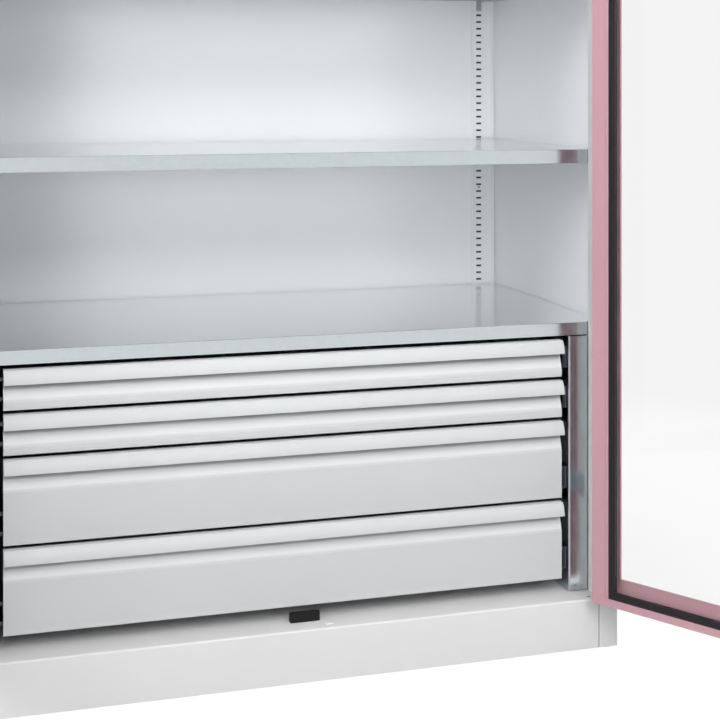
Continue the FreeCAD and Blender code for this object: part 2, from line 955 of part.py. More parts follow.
# Telescopic runners: three nested channels on each side of a drawer
def channel(name, web, reach, middle, height, length):
    """A channel along Y; its web stands at web and its flanges reach towards reach."""
    low = f"{middle} - ({height}) / 2"
    high = f"{middle} + ({height}) / 2"
    path = [(reach, high), (web, high), (web, low), (reach, low)]
    body = doc.addObject("PartDesign::Body", name)
    sketch = body.newObject("Sketcher::SketchObject", name + "Profile")
    sketch.AttachmentSupport = [(plane_of(body, "XZ_Plane"), "")]
    sketch.MapMode = "FlatFace"
    sketch.setExpression("AttachmentOffset.Base.z", named("-runner_start"))
    outward = size_of(web) > size_of(reach)
    inset = "-" if outward else "+"
    inner = [
        (reach, f"{high} - runner_gauge"),
        (f"{web} {inset} runner_gauge", f"{high} - runner_gauge"),
        (f"{web} {inset} runner_gauge", f"{low} + runner_gauge"),
        (reach, f"{low} + runner_gauge"),
    ]
    corners = path + inner[::-1]
    points = [Vector(size_of(a), size_of(b), 0) for a, b in corners]
    count = len(points)
    sketch.addGeometry(
        [Part.LineSegment(points[n], points[(n + 1) % count]) for n in range(count)],
        False,
    )
    sketch.addConstraint(
        [
            Sketcher.Constraint("Coincident", n, 2, (n + 1) % count, 1)
            for n in range(count)
        ]
    )
    for n, corner in enumerate(corners):
        hold_point(sketch, n, 1, corner, f"Corner{n}")
    pad = body.newObject("PartDesign::Pad", name + "Run")
    pad.Profile = sketch
    pad.Reversed = True
    pad.setExpression("Length", named(length))
    doc.recompute()
    return body


def make_drawers():
    outer_runners = []
    for key, pitches, below in DRAWERS:
        low, high = drawer_levels(pitches, below)
        keep(drawer_front(f"Front{key}", low, high), f"drawer_{key}_front")
        keep(drawer_box(f"Box{key}", low, high), f"drawer_{key}_box")
        middle = f"({low} + 34)"
        reach_out = "housing_inner - runner_space"
        outer = channel(
            f"Outer{key}",
            "housing_inner",
            f"{reach_out} + 7",
            middle,
            "runner_height",
            "runner_length",
        )
        slide = channel(
            f"Slide{key}",
            "housing_inner - runner_gauge - 2",
            f"{reach_out} + 3",
            middle,
            "runner_height - 2 * runner_gauge - 2 * runner_play",
            "runner_length",
        )
        inner = channel(
            f"InnerRunner{key}",
            reach_out,
            "housing_inner - 2 * runner_gauge - 4",
            middle,
            "runner_height - 4 * runner_gauge - 4 * runner_play",
            "runner_length - 10",
        )
        outer_runners += [outer, mirror(f"Outer{key}Left", outer)]
        keep(both_sides(f"Slides{key}", slide), f"drawer_{key}_middle_runners")
        keep(both_sides(f"Inners{key}", inner), f"drawer_{key}_inner_runners")
    keep(group("OuterRunners", outer_runners), "outer_runners")


# Doors, drawn shut; the left door mirrors the right one
def ring(name, inward, outer, inner):
    """A flat rectangular ring; each outline gives its hinge, lock and end margins."""

    def block(part, margins, depths):
        hinge, lock, end = margins
        return box(
            f"{name}{part}",
            (f"door_middle_gap + {lock}", f"door_outer - ({hinge})"),
            depths,
            (f"door_under + {end}", f"door_over - ({end})"),
        )

    near, far = inward
    hole = block("Hole", inner, (f"{near} - 1", f"{far} + 1"))
    return cut(name, block("Edge", outer, (near, far)), [hole])


def grown(margins, by):
    """The same outline further in from the door's edges."""
    return tuple(f"({margin} + {by})" for margin in margins)


def make_doors():
    edge = ("0", "0", "0")
    flange = ("door_rear_flange", "door_lock_flange", "door_end_flange")
    well = ("door_well", "door_lock_flange", "door_end_flange")
    window = ("window_margin", "window_lock_margin", "window_margin")
    rear = "door_thick - door_sheet"
    skin = join(
        "DoorSkin",
        [
            ring("DoorFace", ("0", "door_sheet"), edge, window),
            ring("DoorEdges", ("0", "door_thick"), edge, grown(edge, "door_sheet")),
            ring("DoorRear", (rear, "door_thick"), edge, flange),
            ring(
                "DoorHem",
                ("0", "door_sheet + window_hem"),
                grown(window, "-door_sheet"),
                window,
            ),
        ],
    )
    holes = [
        prism(
            f"DoorRodHole{place}",
            HIDDEN_SIDES,
            ("rod_x", "rod_depth", start),
            "guide_bore",
            "door_sheet + 2",
        )
        for place, start in (
            ("Low", "door_under - 1"),
            ("Top", "door_over - door_sheet - 1"),
        )
    ]
    holes.append(spindle_hole("DoorSpindleHole", "-1", "door_sheet + 2"))
    keep(cut("DoorShell", skin, holes), "door_right_shell", door_hung)
    blank = group("DoorBlank", [skin])
    door_hung(blank)
    keep(mirror("DoorBlankLeft", blank), "door_left_shell", None)

    frame_rings = [
        ring("FrameFlat", (f"{rear} - door_sheet", rear), grown(flange, "-frame_lap"), well),
        ring("FrameWall", ("well_floor - door_sheet", rear), grown(well, "-door_sheet"), well),
        ring(
            "FrameLedge",
            ("well_floor - door_sheet", "well_floor"),
            grown(well, "-door_sheet"),
            grown(well, "frame_ledge"),
        ),
    ]
    keep_pair(join("DoorFrame", frame_rings), "door_*_inner_frame", door_hung)

    groove = grown(well, "seal_width - pane_bite")
    pane_near = "well_floor + (seal_depth - pane_thick) / 2"
    pane_far = f"{pane_near} + pane_thick"
    seal = ring(
        "SealBody", ("well_floor", "well_floor + seal_depth"), well, grown(well, "seal_width")
    )
    slot = pane_block("SealGroove", groove, (pane_near, pane_far), "0")
    keep_pair(cut("Seal", seal, [slot]), "door_*_window_seal", door_hung)
    pane = pane_block("Pane", groove, (pane_near, pane_far), "seam / 4")
    keep_pair(pane, "door_*_window_pane", door_hung)


def pane_block(name, margins, depths, play):
    hinge, lock, end = margins
    return box(
        name,
        (f"door_middle_gap + {lock} + {play}", f"door_outer - {hinge} - {play}"),
        (f"{depths[0]} + {play}", f"{depths[1]} - ({play})"),
        (f"door_under + {end} + {play}", f"door_over - {end} - {play}"),
    )


def spindle_hole(name, start, length):
    """The round hole that the square spindle turns in."""
    return rod(
        name, "Y", ("rod_x", start, "lock_height"), "spindle_turn + lock_play", length
    )


# Lift-off hinges: knuckles in front of the seam, leaves in the gap beside the door
def make_hinges():
    starts = (
        "door_under + hinge_low",
        "(door_under + door_over - hinge_height) / 2",
        "door_over - hinge_low - hinge_height",
    )
    frame_parts = []
    door_parts = []
    for n, start in enumerate(starts):
        half_way = f"{start} + hinge_height / 2"
        top = f"{start} + hinge_height"

        def bar(name, sides, low, high, radius):
            """An upright bar on the hinge's axis."""
            start = ("pivot_x", "-pivot_front", low)
            return prism(f"{name}{n}", sides, start, radius, f"{high} - ({low})")

        def leaf(name, across, low, high):
            plate = box(
                f"{name}Plate{n}", across, ("leaf_front", "hinge_leaf"), (start, top)
            )
            neck = box(
                f"{name}Neck{n}", across, ("-pivot_front", "leaf_front + 1"), (low, high)
            )
            return [plate, neck]

        frame_side = ("opening - hinge_sheet", "opening")
        door_side = ("door_outer", "door_outer + hinge_sheet")
        frame_parts.append(
            join(
                f"FrameHinge{n}",
                leaf("FrameLeaf", frame_side, start, half_way)
                + [
                    bar("FrameKnuckle", SMALL_SIDES, start, half_way, "hinge_radius"),
                    bar("HingePin", HIDDEN_SIDES, start, f"{top} - hinge_pin", "hinge_pin"),
                ],
            )
        )
        door_low = f"{half_way} + seam"
        solid = join(
            f"DoorHingeSolid{n}",
            leaf("DoorLeaf", door_side, door_low, top)
            + [bar("DoorKnuckle", SMALL_SIDES, door_low, top, "hinge_radius")],
        )
        bore = bar(
            "DoorBore", HIDDEN_SIDES, start, f"{top} - hinge_pin + pin_end_gap", "hinge_bore"
        )
        door_parts.append(cut(f"DoorHinge{n}", solid, [bore]))
    keep_pair(group("FrameHinges", frame_parts), "hinge_pins_*")
    keep_pair(group("DoorHinges", door_parts), "hinge_leaves_*", door_hung)


# Lock: the lever turns a pinion that drives two racked rods
def trapezoid(body, name, corners):
    """A tooth's outline in a sketch square to the door, held by formulas."""
    sketch = body.newObject("Sketcher::SketchObject", name)
    sketch.AttachmentSupport = [(plane_of(body, "XZ_Plane"), "")]
    sketch.MapMode = "FlatFace"
    points = [Vector(size_of(a), size_of(b), 0) for a, b in corners]
    count = len(points)
    for n in range(count):
        sketch.addGeometry(Part.LineSegment(points[n], points[(n + 1) % count]), False)
    for n, corner in enumerate(corners):
        sketch.addConstraint(Sketcher.Constraint("Coincident", n, 2, (n + 1) % count, 1))
        hold_point(sketch, n, 1, corner, f"Corner{n}")
    return sketch


def padded(body, sketch, name, thick):
    pad = body.newObject("PartDesign::Pad", name)
    pad.Profile = sketch
    pad.setExpression("Length", named(thick))
    doc.recompute()
    return pad


def pinion_gear():
    """Twelve straight-sided teeth round a root disc, centred on the body's own Y axis."""
    body = doc.addObject("PartDesign::Body", "PinionGear")
    root = body.newObject("Sketcher::SketchObject", "PinionRoot")
    root.AttachmentSupport = [(plane_of(body, "XZ_Plane"), "")]
    root.MapMode = "FlatFace"
    centre = Vector(0, 0, 0)
    root.addGeometry(Part.Circle(centre, Vector(0, 0, 1), size_of("pinion_root")), False)
    root.addConstraint(Sketcher.Constraint("Coincident", 0, 3, -1, 1))
    hold_size(root, "Radius", (0,), "pinion_root", "Root")
    padded(body, root, "PinionDisc", "pinion_thick")
    corners = (
        ("pinion_root - 0.5", "-tooth_foot"),
        ("pinion_tip", "-tooth_top"),
        ("pinion_tip", "tooth_top"),
        ("pinion_root - 0.5", "tooth_foot"),
    )
    tooth = padded(body, trapezoid(body, "PinionTooth", corners), "PinionTeeth", "pinion_thick")
    ring = body.newObject("PartDesign::PolarPattern", "PinionRing")
    ring.Originals = [tooth]
    ring.Axis = (root, ["N_Axis"])
    ring.Angle = 360
    ring.setExpression("Occurrences", named("tooth_count"))
    body.Tip = ring
    bind(
        body,
        Placement__Base__x="rod_x",
        Placement__Base__y="rod_depth + pinion_thick / 2",
        Placement__Base__z="lock_height",
    )
    doc.recompute()
    return body


def rack(place, side):
    """A toothed bar beside the pinion: side is 1 on the hinge side, -1 on the lock side."""
    body = doc.addObject("PartDesign::Body", f"Rack{place}")
    end = f"{-side} * (case_half + rack_tail)"
    bar = (
        (f"{side} * rack_root", end),
        (f"{side} * rack_far", end),
        (f"{side} * rack_far", f"{side} * rack_over"),
        (f"{side} * rack_root", f"{side} * rack_over"),
    )
    padded(body, trapezoid(body, f"RackBar{place}", bar), f"RackBlank{place}", "rack_thick")
    first = "-1.5 * tooth_pitch"
    corners = (
        (f"{side} * (rack_root + 0.5)", f"{side} * ({first} - rack_foot)"),
        (f"{side} * rack_tip", f"{side} * ({first} - rack_top)"),
        (f"{side} * rack_tip", f"{side} * ({first} + rack_top)"),
        (f"{side} * (rack_root + 0.5)", f"{side} * ({first} + rack_foot)"),
    )
    outline = trapezoid(body, f"RackTooth{place}", corners)
    tooth = padded(body, outline, f"RackTeeth{place}", "rack_thick")
    row = body.newObject("PartDesign::LinearPattern", f"RackRow{place}")
    row.Originals = [tooth]
    row.Direction = (outline, ["V_Axis"])
    row.Reversed = side < 0
    row.setExpression("Length", named("tooth_pitch * (rack_teeth - 1)"))
    row.setExpression("Occurrences", named("rack_teeth"))
    body.Tip = row
    bind(
        body,
        Placement__Base__x="rod_x",
        Placement__Base__y="rod_depth + rack_thick / 2",
        Placement__Base__z="lock_height",
    )
    doc.recompute()
    return body


def square_bar(name, start, end):
    """The square spindle, or its socket."""
    return box(
        name,
        ("rod_x - spindle_side / 2", "rod_x + spindle_side / 2"),
        (start, end),
        ("lock_height - spindle_side / 2", "lock_height + spindle_side / 2"),
    )


def make_lock_case():
    case_back = "door_sheet + case_sheet"
    cover = "rod_depth + pinion_thick / 2 + lock_play"
    reach = "rack_far + lock_play"
    outer = box(
        "CaseOuter",
        (f"rod_x - {reach} - case_sheet", f"rod_x + {reach} + case_sheet"),
        ("door_sheet", f"{cover} + case_sheet"),
        ("lock_height - case_half", "lock_height + case_half"),
    )
    inner = box(
        "CaseInner",
        (f"rod_x - ({reach})", f"rod_x + {reach}"),
        (case_back, cover),
        ("lock_height - case_half - 1", "lock_height + case_half + 1"),
    )
    tools = [inner, spindle_hole("CaseHole", "0", "door_thick")]
    keep(cut("LockCase", outer, tools), "lock_case", door_hung)


def make_lever():
    spindle = square_bar(
        "Spindle", "-rosette_thick - spindle_bite", "rod_depth + pinion_thick / 2"
    )
    keep(join("Pinion", [spindle, pinion_gear()]), "lock_pinion", door_hung)

    rosette = rod(
        "RosetteDisc",
        "Y",
        ("rod_x", "-rosette_thick", "lock_height"),
        "rosette_radius",
        "rosette_thick",
    )
    hole = spindle_hole("RosetteHole", "-rosette_thick - 1", "rosette_thick + 2")
    keep(cut("Rosette", rosette, [hole]), "lever_rosette", door_hung)

    lever_front = "-lever_stand - lever_thick"
    hub = rod(
        "LeverHub",
        "Y",
        ("rod_x", lever_front, "lock_height"),
        "lever_hub",
        "lever_stand + lever_thick - rosette_thick - lock_play",
    )
    blade = box(
        "LeverBlade",
        ("rod_x", "rod_x + lever_length - lever_width / 2"),
        (lever_front, "-lever_stand"),
        ("lock_height - lever_width / 2", "lock_height + lever_width / 2"),
    )
    tip = rod(
        "LeverTip",
        "Y",
        ("rod_x + lever_length - lever_width / 2", lever_front, "lock_height"),
        "lever_width / 2",
        "lever_thick",
    )
    plug_bore = rod(
        "PlugBore",
        "Y",
        ("rod_x", f"{lever_front} - 1", "lock_height"),
        "plug_radius + plug_play",
        "plug_length + plug_play + 1",
    )
    socket = square_bar("SpindleSocket", "-rosette_thick - spindle_bite", "-rosette_thick")
    solid = join("LeverSolid", [hub, blade, tip])
    keep(cut("Lever", solid, [plug_bore, socket]), "lever_handle", door_hung)

    plug = rod(
        "PlugBody",
        "Y",
        ("rod_x", f"{lever_front} - plug_proud", "lock_height"),
        "plug_radius",
        "plug_length + plug_proud",
    )
    keyway = box(
        "Keyway",
        ("rod_x - keyway_width / 2", "rod_x + keyway_width / 2"),
        (f"{lever_front} - plug_proud - 1", f"{lever_front} + keyway_depth"),
        ("lock_height - keyway_height / 2", "lock_height + keyway_height / 2"),
    )
    keep(cut("Plug", plug, [keyway]), "lock_cylinder_plug", door_hung)


def make_rods():
    guides = []
    for place, name, side in (("Low", "lower", 1), ("Top", "upper", -1)):
        low = side > 0
        end = "rod_low_end" if low else "rod_top_end"
        yoke_near = f"lock_height - ({side} * (case_half + 1))"
        yoke_far = f"lock_height - ({side} * (case_half + rack_tail))"
        shaft_ends = (end, yoke_near) if low else (yoke_near, end)
        shaft = rod(
            f"Rod{place}",
            "Z",
            ("rod_x", "rod_depth", shaft_ends[0]),
            "rod_radius",
            f"{shaft_ends[1]} - ({shaft_ends[0]})",
        )
        across = (f"rod_x - ({side} * rod_radius)", f"rod_x + {side} * rack_far")
        yoke = box(
            f"Yoke{place}",
            across if low else across[::-1],
            ("rod_depth - rack_thick / 2", "rod_depth + rack_thick / 2"),
            (yoke_far, yoke_near) if low else (yoke_near, yoke_far),
        )
        bar = join(f"RodBar{place}", [shaft, rack(place, side), yoke])
        keep(bar, f"lock_rod_{name}", door_hung)

        guide_low = f"{end} + guide_level" if low else f"{end} - guide_level - guide_height"
        block = box(
            f"Guide{place}Block",
            ("rod_x - guide_half", "rod_x + guide_half"),
            ("door_sheet", "rod_depth + guide_wall"),
            (guide_low, f"{guide_low} + guide_height"),
        )
        hole = prism(
            f"Guide{place}Hole",
            HIDDEN_SIDES,
            ("rod_x", "rod_depth", f"{guide_low} - 1"),
            "guide_bore",
            "guide_height + 2",
        )
        guides.append(cut(f"Guide{place}", block, [hole]))
    keep(group("RodGuides", guides), "lock_rod_guides", door_hung)


# Overlap strip on the left door, with the lug that meets the rubber stop
def make_strip_and_stop():
    back = "door_thick + door_sheet"
    path = [
        ("-strip_land", back),
        ("-strip_joggle", back),
        ("-strip_joggle + 1", f"{back} + strip_gap"),
        ("strip_reach", f"{back} + strip_gap"),
    ]
    strip = folded(
        "Strip",
        "upward",
        path,
        "door_sheet",
        "door_under + strip_end",
        "door_over - strip_end",
    )
    lug = box(
        "StripLug",
        ("lug_start", "strip_reach"),
        (f"{back} + strip_gap", "stop_front - stop_play"),
        ("door_under + strip_end", "plinth_height + stop_height"),
    )
    whole = join("OverlapStrip", [strip, lug])
    turned = mirror("OverlapStripDrawn", whole)
    hung = group("OverlapStripHung", [turned])
    door_hung(hung)
    keep(mirror("OverlapStripLeft", hung), "door_left_overlap_strip", None)

    block = box(
        "StopBlock",
        ("stop_side - stop_width / 2", "stop_side + stop_width / 2"),
        ("stop_front", "stop_front + stop_depth"),
        ("plinth_height", "plinth_height + stop_height"),
    )
    doc.recompute()
    stop = doc.addObject("Part::Fillet", "Stop")
    stop.Base = block
    stop.Edges = [
        (n, SIZES["stop_corner"], SIZES["stop_corner"])
        for n, edge in enumerate(block.Shape.Edges, start=1)
        if edge.BoundBox.ZLength > 1
    ]
    keep(stop, "rubber_stop")


make_side_panels()
make_back_panel()
make_top_panel()
make_base_panel()
make_rear_rails()
make_feet()
make_shelves()
make_housing()
make_drawers()
make_doors()
make_hinges()
make_lock_case()
make_lever()
make_rods()
make_strip_and_stop()
doc.recompute()

# Every object is sound before anything is written
for piece in doc.Objects:
    if any(state in ("Invalid", "Error") for state in piece.State):
        raise SystemExit(f"{piece.Name} failed: {piece.State}")
for node in nodes:
    if node.Shape.isNull() or not node.Shape.isValid() or not node.Shape.Solids:
        raise SystemExit(f"{node.Label} has no sound shape")

os.makedirs("parts", exist_ok=True)
for node in nodes:
    node.Shape.exportStep(f"parts/{node.Label}.step")
print(len(nodes), "nodes written")
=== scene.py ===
import json
import math

import bmesh
import bpy
from mathutils import Matrix, Vector

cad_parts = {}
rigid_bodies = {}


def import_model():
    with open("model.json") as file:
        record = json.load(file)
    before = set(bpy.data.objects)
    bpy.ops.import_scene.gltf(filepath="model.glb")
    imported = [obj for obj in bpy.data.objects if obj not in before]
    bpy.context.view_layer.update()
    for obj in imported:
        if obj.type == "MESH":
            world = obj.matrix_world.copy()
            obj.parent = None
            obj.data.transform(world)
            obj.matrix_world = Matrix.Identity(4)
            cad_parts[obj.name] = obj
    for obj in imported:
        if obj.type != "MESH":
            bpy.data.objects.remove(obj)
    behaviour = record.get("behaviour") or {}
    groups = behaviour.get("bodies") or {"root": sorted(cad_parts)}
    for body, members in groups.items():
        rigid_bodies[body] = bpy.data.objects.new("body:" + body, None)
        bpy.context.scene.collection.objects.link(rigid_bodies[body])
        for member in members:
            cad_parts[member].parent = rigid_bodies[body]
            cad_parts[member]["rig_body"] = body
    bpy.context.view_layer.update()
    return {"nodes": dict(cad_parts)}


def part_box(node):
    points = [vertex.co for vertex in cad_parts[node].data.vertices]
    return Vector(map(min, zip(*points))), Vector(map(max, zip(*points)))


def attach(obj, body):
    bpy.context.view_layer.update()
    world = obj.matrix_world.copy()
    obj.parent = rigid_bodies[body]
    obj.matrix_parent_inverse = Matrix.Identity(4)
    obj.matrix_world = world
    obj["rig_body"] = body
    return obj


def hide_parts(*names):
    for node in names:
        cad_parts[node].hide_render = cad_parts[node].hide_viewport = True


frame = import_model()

NODES = frame["nodes"]


# Camera and light

CAMERA_PLACE = (-0.64878, -2.79470, 1.04183)
CAMERA_TURN = math.radians(-16.71)
LENS = 74.45
HORIZON_SHIFT = -0.387

ROOM_LIGHT = 0.02
LAMP_REACH = 7.0
LAMP_SIZE = (4.0, 3.0)
LAMP_TARGET = (0.0, 0.0, 0.9)
LAMPS = {
    "front_low": (0, -6, 60),
    "front_high": (0, 30, 318),
    "left_front": (-30, 10, 120),
    "left_high": (-60, 30, 235),
    "left_side": (-80, 20, 230),
    "right_high": (30, 50, 130),
    "right_side": (95, 20, 170),
    "behind_right": (150, 25, 140),
    "behind_left": (-150, 25, 110),
}
INSIDE_LIGHTS = {
    "inside_left": ((-1.2, -3.2, 1.28), (-0.05, 0.25, 1.18), 0.88),
    "inside_wall": ((-2.4, -3.0, 1.45), (0.58, -0.05, 1.3), 0.25),
    "inside_right": ((1.0, -3.2, 1.28), (-0.15, 0.25, 1.18), 0.58),
}
INSIDE_SIZE = (1.1, 1.1)
INSIDE_SPREAD = math.radians(20)


def set_camera():
    lens = bpy.data.cameras.new("camera")
    lens.lens = LENS
    lens.sensor_width = 36
    lens.shift_y = HORIZON_SHIFT
    lens.clip_end = 60
    camera = bpy.data.objects.new("camera", lens)
    camera.location = CAMERA_PLACE
    camera.rotation_euler = (math.pi / 2, 0, CAMERA_TURN)
    bpy.context.scene.collection.objects.link(camera)
    bpy.context.scene.camera = camera


def seen_plainly(nodes, links):
    """One where the eye, a mirror or a clear pane looks; nought for every other light."""
    path = nodes.new("ShaderNodeLightPath")
    total = path.outputs["Is Camera Ray"]
    for label in ("Is Glossy Ray", "Is Transmission Ray"):
        larger = nodes.new("ShaderNodeMath")
        larger.operation = "MAXIMUM"
        links.new(total, larger.inputs[0])
        links.new(path.outputs[label], larger.inputs[1])
        total = larger.outputs[0]
    return total


def set_world():
    world = bpy.data.worlds.new("soft_room")
    world.use_nodes = True
    nodes, links = world.node_tree.nodes, world.node_tree.links
    room = nodes["Background"]
    room.inputs["Color"].default_value = (1, 1, 1, 1)
    room.inputs["Strength"].default_value = ROOM_LIGHT
    white = nodes.new("ShaderNodeBackground")
    white.inputs["Color"].default_value = (1, 1, 1, 1)
    white.inputs["Strength"].default_value = 1
    mix = nodes.new("ShaderNodeMixShader")
    links.new(seen_plainly(nodes, links), mix.inputs[0])
    links.new(room.outputs[0], mix.inputs[1])
    links.new(white.outputs[0], mix.inputs[2])
    links.new(mix.outputs[0], nodes["World Output"].inputs["Surface"])
    bpy.context.scene.world = world


def area_lamp(name, place, target, size, watts):
    data = bpy.data.lights.new(name, "AREA")
    data.shape = "RECTANGLE"
    data.size, data.size_y = size
    data.energy = watts
    lamp = bpy.data.objects.new(name, data)
    lamp.location = place
    aim = Vector(target) - Vector(place)
    lamp.rotation_euler = aim.to_track_quat("-Z", "Y").to_euler()
    lamp.visible_glossy = False
    bpy.context.scene.collection.objects.link(lamp)
    return data


def set_lamps():
    """Soft lamps on a wide circle, by turn from the front and rise; narrow ones reach inside."""
    for name, (turn, rise, watts) in LAMPS.items():
        turn, rise = math.radians(turn), math.radians(rise)
        flat = LAMP_REACH * math.cos(rise)
        offset = Vector((flat * math.sin(turn), -flat * math.cos(turn), LAMP_REACH * math.sin(rise)))
        area_lamp(name, Vector(LAMP_TARGET) + offset, LAMP_TARGET, LAMP_SIZE, watts)
    for name, (place, target, watts) in INSIDE_LIGHTS.items():
        area_lamp(name, place, target, INSIDE_SIZE, watts).spread = INSIDE_SPREAD


FLOOR_REACH = 9


def set_floor():
    mesh = bpy.data.meshes.new("floor")
    bm = bmesh.new()
    bmesh.ops.create_grid(bm, x_segments=1, y_segments=1, size=FLOOR_REACH)
    bm.to_mesh(mesh)
    bm.free()
    floor = bpy.data.objects.new("floor", mesh)
    bpy.context.scene.collection.objects.link(floor)
    mesh.materials.append(floor_paint())


# Finishes


def new_material(name):
    material = bpy.data.materials.new(name)
    material.use_nodes = True
    nodes, links = material.node_tree.nodes, material.node_tree.links
    return material, nodes, links, nodes["Principled BSDF"]


def effect(name, inputs, outputs):
    """A node group with named inputs; gives the group, its start and its end."""
    group = bpy.data.node_groups.new(name, "ShaderNodeTree")
    for label, kind, value in inputs:
        socket = group.interface.new_socket(label, in_out="INPUT", socket_type=kind)
        if value is not None:
            socket.default_value = value
    for label, kind in outputs:
        group.interface.new_socket(label, in_out="OUTPUT", socket_type=kind)
    start = group.nodes.new("NodeGroupInput")
    end = group.nodes.new("NodeGroupOutput")
    return group, start, end


def noise(tree, vector, scale, detail=2.0, rough=0.5):
    node = tree.nodes.new("ShaderNodeTexNoise")
    node.inputs["Detail"].default_value = detail
    node.inputs["Roughness"].default_value = rough
    tree.links.new(vector, node.inputs["Vector"])
    if isinstance(scale, (int, float)):
        node.inputs["Scale"].default_value = scale
    else:
        tree.links.new(scale, node.inputs["Scale"])
    return node


def between(tree, value, low, high, to_low, to_high):
    node = tree.nodes.new("ShaderNodeMapRange")
    tree.links.new(value, node.inputs["Value"])
    for label, number in (
        ("From Min", low), ("From Max", high), ("To Min", to_low), ("To Max", to_high),
    ):
        node.inputs[label].default_value = number
    return node.outputs["Result"]


def powder_coat():
    """Orange peel of a stoved coat: a fine swell, and a slow drift of tone and gloss."""
    group, start, end = effect(
        "powder_coat",
        [("Vector", "NodeSocketVector", None), ("Peel", "NodeSocketFloat", 420.0)],
        [("Height", "NodeSocketFloat"), ("Drift", "NodeSocketFloat")],
    )
    vector = start.outputs["Vector"]
    peel = noise(group, vector, start.outputs["Peel"], 2.5, 0.45)
    drift = noise(group, vector, 3.5, 2.0, 0.5)
    group.links.new(peel.outputs["Fac"], end.inputs["Height"])
    group.links.new(drift.outputs["Fac"], end.inputs["Drift"])
    return group


def zinc_grain():
    """Zinc coat: crystals of slightly different tone, and faint rolling marks along one way."""
    group, start, end = effect(
        "zinc_grain",
        [("Vector", "NodeSocketVector", None), ("Crystal", "NodeSocketFloat", 90.0)],
        [("Tone", "NodeSocketFloat"), ("Height", "NodeSocketFloat")],
    )
    vector = start.outputs["Vector"]
    cells = group.nodes.new("ShaderNodeTexVoronoi")
    group.links.new(vector, cells.inputs["Vector"])
    group.links.new(start.outputs["Crystal"], cells.inputs["Scale"])
    split = group.nodes.new("ShaderNodeSeparateColor")
    group.links.new(cells.outputs["Color"], split.inputs["Color"])
    stretch = group.nodes.new("ShaderNodeMapping")
    stretch.inputs["Scale"].default_value = (6, 260, 260)
    group.links.new(vector, stretch.inputs["Vector"])
    marks = noise(group, stretch.outputs["Vector"], 1.0, 2.0, 0.6)
    mix = group.nodes.new("ShaderNodeMix")
    mix.inputs["Factor"].default_value = 0.55
    group.links.new(split.outputs["Red"], mix.inputs["A"])
    group.links.new(marks.outputs["Fac"], mix.inputs["B"])
    group.links.new(mix.outputs["Result"], end.inputs["Tone"])
    group.links.new(marks.outputs["Fac"], end.inputs["Height"])
    return group


def object_point(nodes):
    return nodes.new("ShaderNodeTexCoord").outputs["Object"]


def add_group(nodes, links, group, vector, **values):
    node = nodes.new("ShaderNodeGroup")
    node.node_tree = group
    links.new(vector, node.inputs["Vector"])
    for label, value in values.items():
        node.inputs[label].default_value = value
    return node


def tone_ramp(nodes, links, value, dark, light, low=0.3, high=0.7):
    ramp = nodes.new("ShaderNodeValToRGB")
    ramp.color_ramp.elements[0].position = low
    ramp.color_ramp.elements[0].color = (*dark, 1)
    ramp.color_ramp.elements[1].position = high
    ramp.color_ramp.elements[1].color = (*light, 1)
    links.new(value, ramp.inputs["Fac"])
    return ramp.outputs["Color"]


def bump(nodes, links, height, strength, distance):
    node = nodes.new("ShaderNodeBump")
    node.inputs["Strength"].default_value = strength
    node.inputs["Distance"].default_value = distance
    links.new(height, node.inputs["Height"])
    return node.outputs["Normal"]


def shade(rgb):
    """A colour given in 0-255 display values, as the shader's linear light."""
    steps = [value / 255 for value in rgb]
    return [s / 12.92 if s <= 0.04045 else ((s + 0.055) / 1.055) ** 2.4 for s in steps]


def painted_steel(name, colour, roughness=0.42, drift=0.02, peel=420.0, gloss=0.4):
    material, nodes, links, skin = new_material(name)
    coat = add_group(nodes, links, EFFECTS["powder_coat"], object_point(nodes), Peel=peel)
    light = shade(colour)
    dark = [value * (1 - drift) for value in light]
    links.new(tone_ramp(nodes, links, coat.outputs["Drift"], dark, light), skin.inputs["Base Color"])
    low, high = roughness - 0.03, roughness + 0.03
    rough = between(material.node_tree, coat.outputs["Drift"], 0.3, 0.7, low, high)
    links.new(rough, skin.inputs["Roughness"])
    links.new(bump(nodes, links, coat.outputs["Height"], 0.12, 0.0004), skin.inputs["Normal"])
    skin.inputs["Specular IOR Level"].default_value = gloss
    return material


# Depths across which the drawers' painted light and shade run, from the face plane to the corner
# under the lip.
FACE_PLANE = -0.2543
LIP_CORNER = -0.2436


